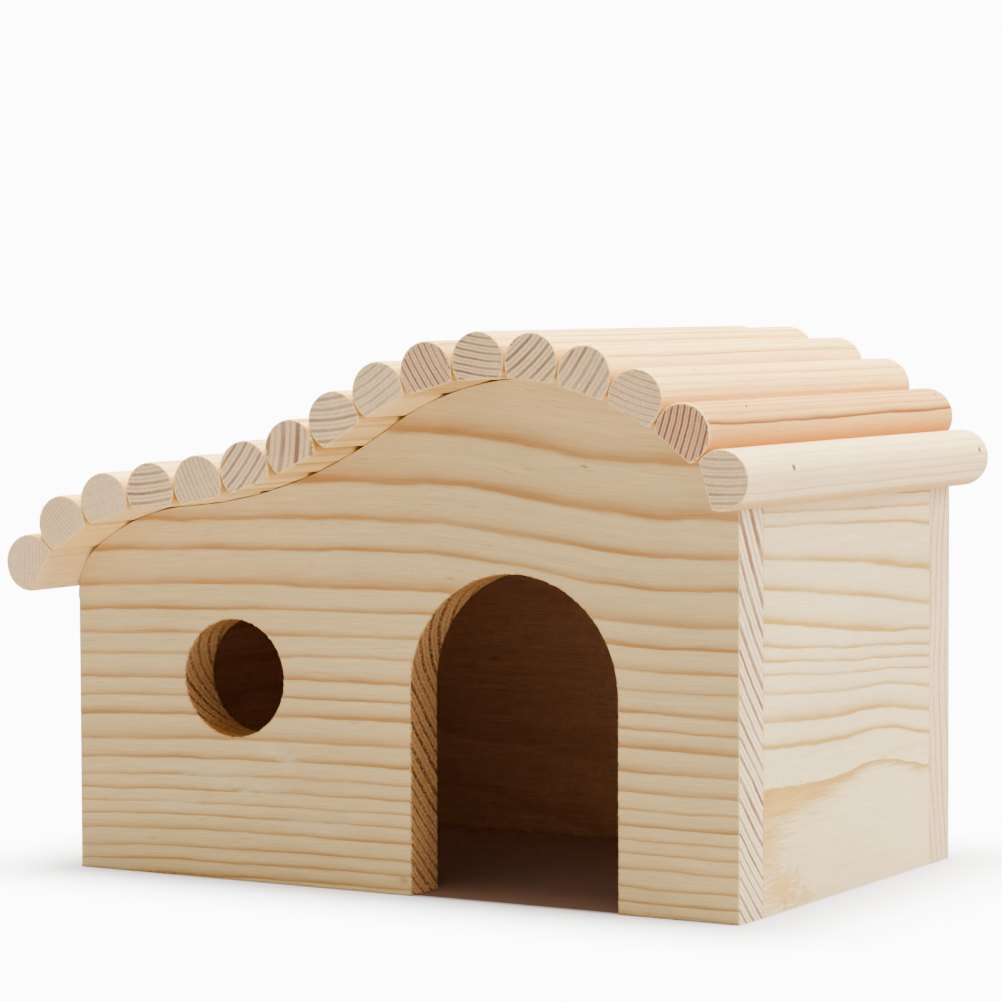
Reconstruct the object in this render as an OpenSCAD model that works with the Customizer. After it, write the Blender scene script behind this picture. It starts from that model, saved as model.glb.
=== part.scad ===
// Wooden house for a small pet: two shaped boards joined by two side walls,
// under a wavy roof of half-round logs laid side by side.
// It has no floor, so it lifts off whatever is inside.

/* [House] */
// Width of the front and back boards
house_w = 150; // [135:1:165]
// Depth from the front face to the back face
house_d = 96; // [70:1:120]
// Thickness of the front and back boards
panel_t = 10; // [8:0.5:14]
// Thickness of the two side walls
wall_t = 10; // [8:0.5:14]

/* [Roof line] */
// Highest point of the low shoulder
shoulder_h = 74.4; // [70:0.2:78]
// How far the top of the shoulder is from the left edge
shoulder_x = 31; // [28:0.5:34]
// Radius of the shoulder
shoulder_r = 43; // [40:1:48]
// Highest point of the hump
hump_h = 100.4; // [94:0.2:108]
// How far the top of the hump is from the left edge
hump_x = 107.3; // [104:0.1:110]
// Radius of the hump
hump_r = 59; // [55:1:64]
// Radius of the hollow between shoulder and hump
valley_r = 98; // [80:1:120]
// Radius that turns the roof line down to the left side
left_corner_r = 13; // [9:0.5:16]
// Radius that turns the roof line down to the right side
right_corner_r = 4; // [2:0.5:8]

/* [Doorway] */
// Width of the doorway
door_w = 45; // [36:1:52]
// Height at which the doorway starts to arch
door_spring_h = 40.5; // [30:0.5:46]
// Centre of the doorway from the left edge
door_x = 101.8; // [96:0.2:108]

/* [Window] */
// Diameter of the round window
window_d = 23; // [14:0.5:30]
// Centre of the window from the left edge
window_x = 38; // [32:0.5:44]
// Height of the window's centre
window_h = 40.4; // [32:0.2:46]

/* [Roof logs] */
// Diameter of the logs before one side is planed flat
log_d = 11.4; // [11:0.05:11.8]
// Height of a log's centre above its flat side
log_seat_h = 3.4; // [2.5:0.1:4.5]
// How far the logs reach out in front of the front board
log_overhang = 14; // [4:0.5:20]
// How far the logs stop short of the back board's face
log_inset = 1; // [0:0.5:4]
// How steeply the first log leans to the left, in degrees
first_log_slope = 63; // [50:1:70]
// Glue between the logs and the boards under them
glue_line = 0.15; // [0.1:0.05:0.3]

/* [Pins and dowels] */
// Diameter of the headless pins that hold the logs
pin_d = 1.2; // [0.8:0.1:2]
// Length of the pins
pin_l = 18; // [14:0.5:20]
// How far the pins are sunk below the top of the logs
pin_sink = 0.8; // [0.4:0.1:1.5]
// Diameter of the blind dowels between walls and boards
dowel_d = 4; // [3:0.5:6]
// Length of the dowels
dowel_l = 16; // [12:1:24]
// How deep the dowels sit in the front and back boards
dowel_panel_depth = 6; // [4:0.5:7]
// Distance of the dowels from the bottom and top of a wall
dowel_edge = 12; // [8:1:18]

/* [Hidden] */
$fn = 96;
past = 1;

// Centres of the arcs of the roof line, each arc tangent to the next
shoulder_c = [shoulder_x, shoulder_h - shoulder_r];
hump_c = [hump_x, hump_h - hump_r];
valley_c = crossing(shoulder_c, shoulder_r + valley_r, hump_c, hump_r + valley_r, 1);
left_c = [left_corner_r,
    shoulder_c[1] + leg(shoulder_r - left_corner_r, shoulder_x - left_corner_r)];
right_c = [house_w - right_corner_r,
    hump_c[1] + leg(hump_r - right_corner_r, house_w - right_corner_r - hump_x)];

// Directions from the arcs' centres to the points where they meet
left_turn = heading(left_c - shoulder_c);
shoulder_turn = heading(valley_c - shoulder_c);
hump_turn = heading(valley_c - hump_c);
right_turn = heading(right_c - hump_c);

// The points where the arcs meet
left_join = shoulder_c + polar(shoulder_r, left_turn);
shoulder_join = shoulder_c + polar(shoulder_r, shoulder_turn);
hump_join = hump_c + polar(hump_r, hump_turn);
right_join = hump_c + polar(hump_r, right_turn);

// The path of the logs' centres: [centre, radius, first and last direction,
// +90 or -90 from the direction to the slope of the log's flat side].
// It starts and ends where a flat side would stand upright against a side wall.
// In the hollow, a log stands on the two edges of its flat side.
lift = log_seat_h + glue_line;
hollow_r = leg(valley_r - glue_line, leg(log_d / 2, log_seat_h)) - log_seat_h;
LOG_PATH = [
    [left_c, left_corner_r + lift, 180, left_turn, -90],
    [shoulder_c, shoulder_r + lift, left_turn, shoulder_turn, -90],
    [valley_c, hollow_r, shoulder_turn - 180, hump_turn - 180, 90],
    [hump_c, hump_r + lift, hump_turn, right_turn, -90],
    [right_c, right_corner_r + lift, right_turn, 0, -90]
];
first_log = [left_c + polar(left_corner_r + lift, 90 + first_log_slope), first_log_slope];
// [centre, slope] of each log, each one touching the one before it
LOGS = log_row([first_log]);
last_log = len(LOGS) - 1;
log_l = house_d + log_overhang - log_inset;

// Heights of the walls' outer faces, and the places of the pins
left_wall_h = left_c[1];
right_wall_h = right_c[1];
front_pin_y = panel_t / 2;
back_pin_y = house_d - panel_t / 2;

// The middle of the whole object, seen from above
reach_left = min(0, LOGS[0][0][0] - log_d / 2);
reach_right = max(house_w, LOGS[last_log][0][0] + log_d / 2);
middle = [(reach_left + reach_right) / 2, (house_d - log_overhang) / 2];

LOG_NAMES = [for (i = [0:last_log]) str("roof_log_", i < 9 ? "0" : "", i + 1)];

// A point at a distance and a direction
function polar(r, a) = [r * cos(a), r * sin(a)];

// The direction in which a vector points
function heading(v) = atan2(v[1], v[0]);

// The second leg of a right triangle
function leg(hypotenuse, other) = sqrt(max(pow(hypotenuse, 2) - pow(other, 2), 0));

// Where two circles cross, on the left (1) or right (-1) of the line between centres
function crossing(c0, r0, c1, r1, side) =
    let (d = norm(c1 - c0), u = (c1 - c0) / d,
         a = (d * d + r0 * r0 - r1 * r1) / (2 * d))
    c0 + a * u + side * leg(r0, a) * [-u[1], u[0]];

// The place for the next log on one arc of the path, one log further on
function step_on(arc, from) =
    let (c = crossing(arc[0], arc[1], from, log_d, arc[4] < 0 ? -1 : 1),
         a = heading(c - arc[0]))
    [c, a + arc[4]];

// True if the crossing exists and lies on the arc
function is_on(arc, from) =
    let (gap = norm(from - arc[0]), a = heading(step_on(arc, from)[0] - arc[0]))
    abs(gap - arc[1]) < log_d && a <= max(arc[2], arc[3]) && a >= min(arc[2], arc[3]);

// The row of logs, one more each time until the path ends
function log_row(row) =
    let (from = row[len(row) - 1][0],
         next = [for (arc = LOG_PATH) if (is_on(arc, from)) step_on(arc, from)])
    len(next) == 0 ? row : log_row(concat(row, [next[len(next) - 1]]));

// Puts the origin under the middle of the object
module placed() {
    translate([-middle[0], -middle[1], 0]) children();
}

// Extrudes an outline seen from the front, from y = start back to y = start + length
module boards(start, length) {
    translate([0, start + length, 0]) rotate([90, 0, 0]) linear_extrude(length) children();
}

// The part of a side rectangle that a rounded corner removes
module corner_waste(x0, x1, centre, radius) {
    difference() {
        translate([x0, centre[1]]) square([x1 - x0, hump_h]);
        translate(centre) circle(radius);
    }
}

// The front of the house without openings, under the roof line
module house_outline() {
    intersection() {
        square([house_w, hump_h + past]);
        difference() {
            union() {
                polygon([[0, 0], [house_w, 0], [house_w, right_c[1]], right_join,
                    hump_join, shoulder_join, left_join, [0, left_c[1]]]);
                translate(shoulder_c) circle(shoulder_r);
                translate(hump_c) circle(hump_r);
            }
            translate(valley_c) circle(valley_r, $fn = 192);
            corner_waste(-past, left_join[0], left_c, left_corner_r);
            corner_waste(right_join[0], house_w + past, right_c, right_corner_r);
        }
    }
}

// The doorway, open at the bottom
module doorway() {
    translate([door_x - door_w / 2, -past]) square([door_w, door_spring_h + past]);
    translate([door_x, door_spring_h]) circle(d = door_w);
}

// Stands its children on the middle of log i: z points away from the roof
module on_log(i) {
    translate([LOGS[i][0][0], 0, LOGS[i][0][1]]) rotate([0, -LOGS[i][1], 0]) children();
}

// One pin in log i, straight through its flat side
module roof_pin(i, y) {
    on_log(i) translate([0, y, log_d / 2 - pin_sink - pin_l]) cylinder(d = pin_d, h = pin_l);
}

module roof_pins(y) {
    for (i = [0:last_log]) roof_pin(i, y);
}

// The two dowels at one end of each wall
module dowels(start) {
    for (wall = [[wall_t / 2, left_wall_h], [house_w - wall_t / 2, right_wall_h]])
        for (z = [dowel_edge, wall[1] - dowel_edge])
            translate([wall[0], start, z]) rotate([-90, 0, 0]) cylinder(d = dowel_d, h = dowel_l);
}

module all_front_dowels() { dowels(panel_t - dowel_panel_depth); }

module all_back_dowels() { dowels(house_d - panel_t + dowel_panel_depth - dowel_l); }

module front_panel() {
    color([0.80, 0.71, 0.57]) placed() difference() {
        boards(0, panel_t) difference() {
            house_outline();
            doorway();
            translate([window_x, window_h]) circle(d = window_d);
        }
        roof_pins(front_pin_y);
        all_front_dowels();
    }
}

module back_panel() {
    color([0.78, 0.68, 0.56]) placed() difference() {
        boards(house_d - panel_t, panel_t) house_outline();
        roof_pins(back_pin_y);
        all_back_dowels();
    }
}

// A side wall between the two boards, its top cut to the roof line
module side_wall(x) {
    placed() difference() {
        boards(panel_t, house_d - 2 * panel_t) intersection() {
            house_outline();
            translate([x, 0]) square([wall_t, hump_h]);
        }
        all_front_dowels();
        all_back_dowels();
    }
}

module left_wall() { color([0.84, 0.76, 0.64]) side_wall(0); }

module right_wall() { color([0.88, 0.82, 0.71]) side_wall(house_w - wall_t); }

// A dowel rod planed flat on one side, with a hole for a pin over each board
module roof_log(i) {
    color([0.92, 0.85, 0.74]) placed() on_log(i) difference() {
        boards(-log_overhang, log_l) difference() {
            circle(d = log_d);
            translate([-log_d, -log_d - log_seat_h]) square([2 * log_d, log_d]);
        }
        for (y = [front_pin_y, back_pin_y])
            translate([0, y, -log_d]) cylinder(d = pin_d, h = 2 * log_d);
    }
}

module front_roof_pins() { color([0.62, 0.61, 0.58]) placed() roof_pins(front_pin_y); }

module back_roof_pins() { color([0.62, 0.61, 0.58]) placed() roof_pins(back_pin_y); }

module front_dowels() { color([0.86, 0.74, 0.55]) placed() all_front_dowels(); }

module back_dowels() { color([0.86, 0.74, 0.55]) placed() all_back_dowels(); }

front_panel();
back_panel();
left_wall();
right_wall();
for (i = [0:last_log])
    roof_log(i);
front_roof_pins();
back_roof_pins();
front_dowels();
back_dowels();
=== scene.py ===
# %% [markdown]
# # A small wooden house with a roof of half-round logs
# The house is all pine: two shaped boards, two side walls, and sixteen logs laid side
# by side over a wavy roof line. Nothing is painted, so the wood itself is the subject:
# its growth rings, its sawn ends, and the ragged edges that the saw left. The packed
# model gives the place of every part.

# %% Load the frame
import math

import bpy
from mathutils import Matrix, Vector, noise
from mathutils.geometry import tessellate_polygon


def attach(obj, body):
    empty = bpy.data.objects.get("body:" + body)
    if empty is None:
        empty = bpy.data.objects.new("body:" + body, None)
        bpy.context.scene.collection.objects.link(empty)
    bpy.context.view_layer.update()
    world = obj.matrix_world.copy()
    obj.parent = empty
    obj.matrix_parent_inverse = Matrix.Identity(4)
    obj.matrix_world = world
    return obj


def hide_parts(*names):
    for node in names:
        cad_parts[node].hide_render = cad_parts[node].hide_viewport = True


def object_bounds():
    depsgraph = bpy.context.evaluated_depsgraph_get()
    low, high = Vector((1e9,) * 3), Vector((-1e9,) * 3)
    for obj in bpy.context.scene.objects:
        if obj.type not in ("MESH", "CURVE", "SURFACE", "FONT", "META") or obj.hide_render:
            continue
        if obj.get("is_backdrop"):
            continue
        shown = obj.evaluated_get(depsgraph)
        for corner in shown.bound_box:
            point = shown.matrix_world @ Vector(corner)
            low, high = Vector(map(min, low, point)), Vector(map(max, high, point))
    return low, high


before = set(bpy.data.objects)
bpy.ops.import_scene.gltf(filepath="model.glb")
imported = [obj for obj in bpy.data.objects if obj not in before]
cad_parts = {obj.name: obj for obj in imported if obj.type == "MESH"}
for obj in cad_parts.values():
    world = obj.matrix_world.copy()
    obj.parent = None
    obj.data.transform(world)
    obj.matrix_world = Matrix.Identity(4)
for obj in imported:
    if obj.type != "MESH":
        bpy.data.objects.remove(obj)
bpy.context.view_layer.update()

# %% [markdown]
# ## Sizes
# All sizes are millimetres, counted from the lower left corner of the front board's
# face: x to the right, y to the back, z up. Blender works in metres, and the origin lies
# under the middle of the object, so `spot` turns one into the other.

# %% Sizes of the house, in millimetres
HOUSE_WIDTH, HOUSE_DEPTH = 150.0, 96.0
BOARD, WALL = 10.0, 10.0
LEFT_CORNER, LEFT_CORNER_RADIUS = (13.0, 55.4), 13.0
SHOULDER, SHOULDER_RADIUS = (31.0, 31.4), 43.0
HOLLOW, HOLLOW_RADIUS = (20.14, 171.98), 98.0
HUMP, HUMP_RADIUS = (107.3, 41.4), 59.0
RIGHT_CORNER, RIGHT_CORNER_RADIUS = (146.0, 80.48), 4.0
DOOR_X, DOOR_WIDTH, DOOR_SPRING = 101.8, 45.0, 40.5
WINDOW_X, WINDOW_Z, WINDOW_WIDTH = 38.0, 40.4, 23.0
MIDDLE_X, MIDDLE_Y = 75.7319, 41.0
MM = 0.001


def spot(x, y, z):
    """A point of the house, in millimetres, as a place in Blender, in metres."""
    return Vector(((x - MIDDLE_X) * MM, (y - MIDDLE_Y) * MM, z * MM))


def add_object(name, data):
    """An object in the scene, at the origin."""
    made = bpy.data.objects.new(name, data)
    bpy.context.scene.collection.objects.link(made)
    return made


# %% [markdown]
# ## The camera
# A long lens, a little above the doorway's height, looks at the front from the right.
# Three plain turns aim it: round the upright, up or down, and a slight roll.

# %% Make the camera
LENS, SENSOR = 135.49, 36.0
EYE, TURN, TILT, ROLL = (459.47, -616.81, 116.26), 30.27, -3.14, -0.21

camera_data = bpy.data.cameras.new("camera")
camera_data.lens, camera_data.sensor_width = LENS, SENSOR
camera = add_object("camera", camera_data)
camera.matrix_world = (
    Matrix.Translation(spot(*EYE))
    @ Matrix.Rotation(math.radians(TURN), 4, "Z")
    @ Matrix.Rotation(math.radians(90 + TILT), 4, "X")
    @ Matrix.Rotation(math.radians(ROLL), 4, "Z")
)
bpy.context.scene.camera = camera
print("camera at", [round(v, 3) for v in camera.location])

# %% [markdown]
# ## Small helpers for node trees
# Materials are made of many nodes. Most of these helpers add one node and give back the
# socket that its answer comes out of, so a line of code reads like a sum.


# %% Helpers for node trees
def put(tree, kind, settings=None, **inputs):
    """Adds a node. An input is a value, or the output socket of another node."""
    made = tree.nodes.new(kind)
    for name, value in (settings or {}).items():
        setattr(made, name, value)
    for name, value in inputs.items():
        numbered = name[0] == "i" and name[1:].isdigit()
        socket = made.inputs[int(name[1:]) if numbered else name.replace("_", " ")]
        if isinstance(value, bpy.types.NodeSocket):
            tree.links.new(value, socket)
        else:
            socket.default_value = value
    return made


def math_node(tree, operation, a, b=0.0, c=0.0, clamp=False):
    """One sum on numbers, as in a pocket calculator."""
    settings = {"operation": operation, "use_clamp": clamp}
    return put(tree, "ShaderNodeMath", settings, i0=a, i1=b, i2=c).outputs[0]


def plus(tree, a, b, clamp=False):
    return math_node(tree, "ADD", a, b, clamp=clamp)


def minus(tree, a, b):
    return math_node(tree, "SUBTRACT", a, b)


def times(tree, a, b, clamp=False):
    return math_node(tree, "MULTIPLY", a, b, clamp=clamp)


def mix_node(tree, share, a, b):
    """A number that is part of the way from one to another."""
    return put(tree, "ShaderNodeMix", {"data_type": "FLOAT"}, i0=share, i2=a, i3=b).outputs[0]


def vector_node(tree, operation, a, b=(0, 0, 0)):
    """One sum on vectors."""
    made = put(tree, "ShaderNodeVectorMath", {"operation": operation}, i0=a, i1=b)
    return made.outputs["Value"] if operation in ("LENGTH", "DOT_PRODUCT") else made.outputs[0]


def scale_node(tree, vector, factor):
    """A vector made longer or shorter."""
    settings = {"operation": "SCALE"}
    return put(tree, "ShaderNodeVectorMath", settings, i0=vector, Scale=factor).outputs[0]


def split(tree, vector):
    """The three numbers of a vector."""
    return put(tree, "ShaderNodeSeparateXYZ", Vector=vector).outputs


def join(tree, x=0.0, y=0.0, z=0.0):
    """A vector from three numbers."""
    return put(tree, "ShaderNodeCombineXYZ", X=x, Y=y, Z=z).outputs[0]


def read_mark(tree, name):
    """A number that the mesh carries at each point."""
    return put(tree, "ShaderNodeAttribute", {"attribute_name": name}).outputs["Fac"]


def noise_node(tree, place, stretch, detail=2.0, roughness=0.5, output="Fac"):
    """Soft noise from 0 to 1. A stretch is how many grains fit in a millimetre, per axis."""
    place = vector_node(tree, "MULTIPLY", place, stretch)
    return put(tree, "ShaderNodeTexNoise", Vector=place, Scale=1.0, Detail=detail,
               Roughness=roughness).outputs[output]


def remap(tree, value, low, high, to_low, to_high, smooth=False):
    """Slides a range of numbers onto another range."""
    settings = {"interpolation_type": "SMOOTHSTEP" if smooth else "LINEAR"}
    return put(tree, "ShaderNodeMapRange", settings, Value=value, From_Min=low, From_Max=high,
               To_Min=to_low, To_Max=to_high).outputs["Result"]


def curve_node(tree, value, points):
    """A curve through given points, with straight lines between them."""
    made = put(tree, "ShaderNodeFloatCurve", Value=value)
    curve = made.mapping.curves[0]
    for x, y in points[1:-1]:
        curve.points.new(x, y)
    ordered = sorted(curve.points, key=lambda p: p.location[0])
    for point, place in zip(ordered, points):
        point.location, point.handle_type = place, "VECTOR"
    made.mapping.update()
    return made.outputs[0]


def blend(tree, share, a, b, mode="MIX"):
    """Mixes two colours, or multiplies the first by the second."""
    settings = {"data_type": "RGBA", "blend_type": mode}
    return put(tree, "ShaderNodeMix", settings, i0=share, i6=a, i7=b).outputs[2]


FLOAT, VECTOR, COLOR = "NodeSocketFloat", "NodeSocketVector", "NodeSocketColor"


def new_group(name, inputs, outputs, kind="ShaderNodeTree"):
    """A tree with named sockets. Returns it, what it is given, and where its results go."""
    tree = bpy.data.node_groups.new(name, kind)
    for in_out, sockets in (("INPUT", inputs), ("OUTPUT", outputs)):
        for socket_kind, titles in sockets.items():
            for title in titles:
                tree.interface.new_socket(title, in_out=in_out, socket_type=socket_kind)
    return tree, tree.nodes.new("NodeGroupInput").outputs, tree.nodes.new("NodeGroupOutput").inputs


def use_group(tree, group, **inputs):
    """A copy of a group in another tree."""
    return put(tree, "ShaderNodeGroup", {"node_tree": group}, **inputs)


def new_material(name):
    """A material with nodes. Returns it, its tree and its shader."""
    material = bpy.data.materials.new(name)
    material.use_nodes = True
    return material, material.node_tree, material.node_tree.nodes["Principled BSDF"]


print("helpers ready")

# %% [markdown]
# ## Light and floor
# The house stands in soft daylight. Most of it comes from above and from the right, a
# little behind the front board, so the logs and the right wall are bright while the
# front is lit only by the sky and the floor.
#
# The paper under and behind the house looks white, but mustn't wash out the shade under
# the roof. A Light Path node tells a ray that the camera sent from one that carries
# light, so sky and floor can look whiter than the light that they throw back. Close to
# the house the floor keeps its true shade. Inside the house, and in a thin line round its
# foot, the camera sees painted shade: dark brown by the door, lighter brown at the back.

# %% Make the lights
SIDE_WATTS, TOP_WATTS, SKY_STRENGTH, SKY_LOOK = 19.0, 91.0, 1.0, 12.0
SIDE_PLACE, TOP_PLACE, AIM = (1.05, 0.12, 0.62), (0.05, 0.1, 1.25), (0, 0, 0.05)


def area_light(name, watts, place, size, color):
    """A square light that shines from a point towards the house."""
    data = bpy.data.lights.new(name, "AREA")
    data.energy, data.size, data.color = watts, size, color
    light = add_object(name, data)
    light.location = place
    light.rotation_euler = (Vector(AIM) - Vector(place)).to_track_quat("-Z", "Y").to_euler()


area_light("side_light", SIDE_WATTS, SIDE_PLACE, 0.7, (1.0, 0.98, 0.96))
area_light("top_light", TOP_WATTS, TOP_PLACE, 0.9, (1.0, 0.99, 0.98))

world = bpy.data.worlds.new("sky")
bpy.context.scene.world = world
world.use_nodes = True
sky, background = world.node_tree, world.node_tree.nodes["Background"]
seen = put(sky, "ShaderNodeLightPath").outputs["Is Camera Ray"]
sky.links.new(remap(sky, seen, 0, 1, SKY_STRENGTH, SKY_LOOK), background.inputs["Strength"])
background.inputs["Color"].default_value = (1, 1, 1, 1)

# %% Make the floor
DULL, PALE = (0.42, 0.42, 0.42, 1), (0.9, 0.9, 0.9, 1)
# Colours of the painted shade on the floor inside the house: by the door and at the back.
PAINTED_SHADE_DOOR, PAINTED_SHADE_BACK = (0.13, 0.07, 0.045, 1), (0.55, 0.32, 0.2, 1)
BLACK, WHITE = (0, 0, 0, 1), (1, 1, 1, 1)
FLOOR_REACH, SHADE_REACH, UNDER_BOARDS, SHADE_EDGE = 8, 0.04, 0.002, 0.003

floor_mesh = bpy.data.meshes.new("floor")
corners = [(x * FLOOR_REACH, y * FLOOR_REACH, 0) for x, y in ((-1, -1), (1, -1), (1, 1), (-1, 1))]
floor_mesh.from_pydata(corners, [], [(0, 1, 2, 3)])
floor = add_object("floor", floor_mesh)
floor_paint, paint, bsdf = new_material("pale_floor")
place = put(paint, "ShaderNodeTexCoord").outputs["Object"]
house_middle = spot(HOUSE_WIDTH / 2, HOUSE_DEPTH / 2, 0)
half_size = (HOUSE_WIDTH / 2 * MM - UNDER_BOARDS, HOUSE_DEPTH / 2 * MM - UNDER_BOARDS, 0)
outside = vector_node(paint, "ABSOLUTE", vector_node(paint, "SUBTRACT", place, house_middle))
outside = vector_node(paint, "MAXIMUM", vector_node(paint, "SUBTRACT", outside, half_size), (0, 0, 0))
from_house = vector_node(paint, "LENGTH", outside)
open_floor = remap(paint, from_house, 0, SHADE_REACH, 0, 1, smooth=True)
# Painted shade: inside the house and in a thin line round its foot, the camera sees brown.
painted_shade_mask = remap(paint, from_house, 0, SHADE_EDGE, 1, 0)
depth = split(paint, place)["Y"]
depth = remap(paint, depth, spot(0, 0, 0).y, spot(0, HOUSE_DEPTH, 0).y, 0, 1)
painted_floor_shade = blend(paint, depth, PAINTED_SHADE_DOOR, PAINTED_SHADE_BACK)
seen = put(paint, "ShaderNodeLightPath").outputs["Is Camera Ray"]
glow = times(paint, seen, open_floor)
look = blend(paint, painted_shade_mask, PALE, painted_floor_shade)
look = blend(paint, glow, look, BLACK)
look = blend(paint, seen, DULL, look)
paint.links.new(look, bsdf.inputs["Base Color"])
paint.links.new(blend(paint, glow, BLACK, WHITE), bsdf.inputs["Emission Color"])
bsdf.inputs["Emission Strength"].default_value = SKY_LOOK
bsdf.inputs["Roughness"].default_value = 0.9
bsdf.inputs["Specular IOR Level"].default_value = 0.0
floor_mesh.materials.append(floor_paint)
floor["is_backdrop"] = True
print("floor:", [round(v, 1) for v in floor.dimensions])

# %% [markdown]
# ## How wood gets its pattern
# A tree adds a ring each year: pale wood in spring, dark wood in late summer, and then
# a sharp stop. A board is a slice through those rings. If the rings fill space like
# nested tubes, then every face of a board shows what its cut would give: lines on the
# faces, arcs on the ends. So the pattern is a solid one, worked out from a point's
# distance to the middle of the trunk, and no picture is wrapped on.

# %% [markdown]
# ## Group 1: the distance to the heart of the tree
# The input is a point in wood space: millimetres, with y along the fibres and the heart
# of the trunk on the y axis. A real trunk isn't a perfect tube, so soft noise first
# pushes the point about: a slow wander, a finer shake, and a very fine feathering that
# makes the edge of each ring follow the single fibres.

# %% Build the trunk group
MIDDLE_GREY, FEATHER = (0.5, 0.5, 0.5), (0.4, 0.4, 0.4)

trunk, given, result = new_group(
    "trunk", {VECTOR: ["Wood"], FLOAT: ["Wander", "Shake", "Seed"]},
    {FLOAT: ["Distance"], VECTOR: ["Place"]},
)
moved = vector_node(trunk, "ADD", given["Wood"], given["Seed"])
slow, fine, feather = (
    vector_node(trunk, "SUBTRACT", noise_node(trunk, moved, *grain, output="Color"), MIDDLE_GREY)
    for grain in (
        ((0.03, 0.014, 0.03), 1.0), ((0.22, 0.07, 0.22), 2.0), ((1.8, 0.12, 1.8), 2.0, 0.6),
    )
)
fine = vector_node(trunk, "ADD", fine, vector_node(trunk, "MULTIPLY", feather, FEATHER))
warped = vector_node(trunk, "ADD", given["Wood"], scale_node(trunk, slow, given["Wander"]))
warped = vector_node(trunk, "ADD", warped, scale_node(trunk, fine, given["Shake"]))
across = vector_node(trunk, "MULTIPLY", warped, (1, 0, 1))
trunk.links.new(vector_node(trunk, "LENGTH", across), result["Distance"])
trunk.links.new(warped, result["Place"])
print("trunk nodes:", len(trunk.nodes))

# %% [markdown]
# ## Group 2: pine
# From the count of years at a point, this group works out colour, roughness and height.
# The whole number is the year and the rest is the season. The wood darkens slowly
# through the summer and stops at once, so a ring has one soft side and one sharp side.
# On a cut across the fibres, the end grain, the dark lines are thin and the wood is
# greyer. On the inner faces, painted shade makes the lines duller.

# %% Build the pine group: rings
RING_START, RING_STOP = [(0, 0.42), (0.03, 0.12), (0.07, 0)], [(0.91, 1), (0.965, 1), (1, 0.42)]
WEAKEST = 0.78

pine, given, result = new_group(
    "pine",
    {VECTOR: ["Wood", "Fibre Axis"],
     COLOR: ["Spring Wood", "Summer Wood", "Spring End", "Summer End"],
     FLOAT: ["Years", "Contrast", "Streaks", "Seed", "Inside", "Weakest"]},
    {COLOR: ["Color"], FLOAT: ["Roughness", "Height"]},
)
wood, years = given["Wood"], given["Years"]
season = math_node(pine, "FRACT", years)
year = math_node(pine, "FLOOR", years)
thin = curve_node(
    pine, season, RING_START + [(0.5, 0), (0.68, 0.14), (0.8, 0.42), (0.87, 0.8)] + RING_STOP
)
broad = curve_node(
    pine, season, RING_START + [(0.3, 0.02), (0.5, 0.2), (0.7, 0.48), (0.84, 0.8)] + RING_STOP
)
on_end = curve_node(
    pine, season,
    [(0, 0.5), (0.04, 0.08), (0.22, 0), (0.3, 0.5), (0.38, 0.5), (0.45, 0), (0.62, 0.06), (0.7, 0.7),
     (0.77, 1), (0.96, 1), (1, 0.5)],
)
normal = put(pine, "ShaderNodeNewGeometry").outputs["Normal"]
facing = vector_node(pine, "DOT_PRODUCT", normal, given["Fibre Axis"])
facing = math_node(pine, "ABSOLUTE", facing)
end_grain = remap(pine, facing, 0.5, 0.85, 0, 1, smooth=True)
year_seed = plus(pine, year, given["Seed"])
weather = put(pine, "ShaderNodeTexWhiteNoise", {"noise_dimensions": "1D"}, W=year_seed)
luck, wetness = weather.outputs["Value"], weather.outputs["Color"]
on_face = mix_node(pine, remap(pine, wetness, 0.25, 0.85, 0, 1), thin, broad)
darkness = mix_node(pine, end_grain, on_face, on_end)
shifted = vector_node(pine, "ADD", wood, given["Seed"])
fading = remap(pine, noise_node(pine, shifted, (0.12, 0.03, 0.12), 1.0), 0.3, 0.7, 0.75, 1.15)
weakest = mix_node(pine, end_grain, given["Weakest"], WEAKEST)
summer = times(pine, darkness, remap(pine, luck, 0, 1, weakest, 1.1))
summer = times(pine, summer, fading)
# Painted shade: on the inner faces the ring lines are duller.
dulled_by_shade = math_node(pine, "MULTIPLY_ADD", given["Inside"], -0.6, 1.0)
summer = times(pine, summer, dulled_by_shade)
summer = times(pine, summer, given["Contrast"], clamp=True)
print("ring nodes:", len(pine.nodes))

# %% [markdown]
# Fibres are noise that is stretched a lot along the grain: fine hairs, broad streaks and
# slow patches. Where a saw crossed the grain it left specks. Three marks come with the
# mesh: "arris" is 1 along an edge, where the wood frays and a painted highlight makes it
# pale; "sawn" is 1 on the curved cuts of the openings, which the blade browned and where
# painted shade darkens them; and "flank" is 1 on the sides of a log, where glue and dust
# have aged it and painted shade darkens the crease between logs.

# %% Build the pine group: colour
# The sawn brown is partly saw burn, partly painted shade in the openings.
SAW_BURN_AND_SHADE, SAWN_CRUMBS = (0.50, 0.32, 0.19, 1), (0.62, 0.36, 0.12, 1)
# Frayed pale: partly a painted highlight. Aged orange: partly painted shade. Inner brown: painted
# shade.
FRAY_AND_HIGHLIGHT, AGE_AND_SHADE, INSIDE_PAINTED_SHADE = (0.92, 0.61, 0.19, 1), (0.56, 0.25, 0.03, 1), (0.58, 0.34, 0.28, 1)

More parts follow.
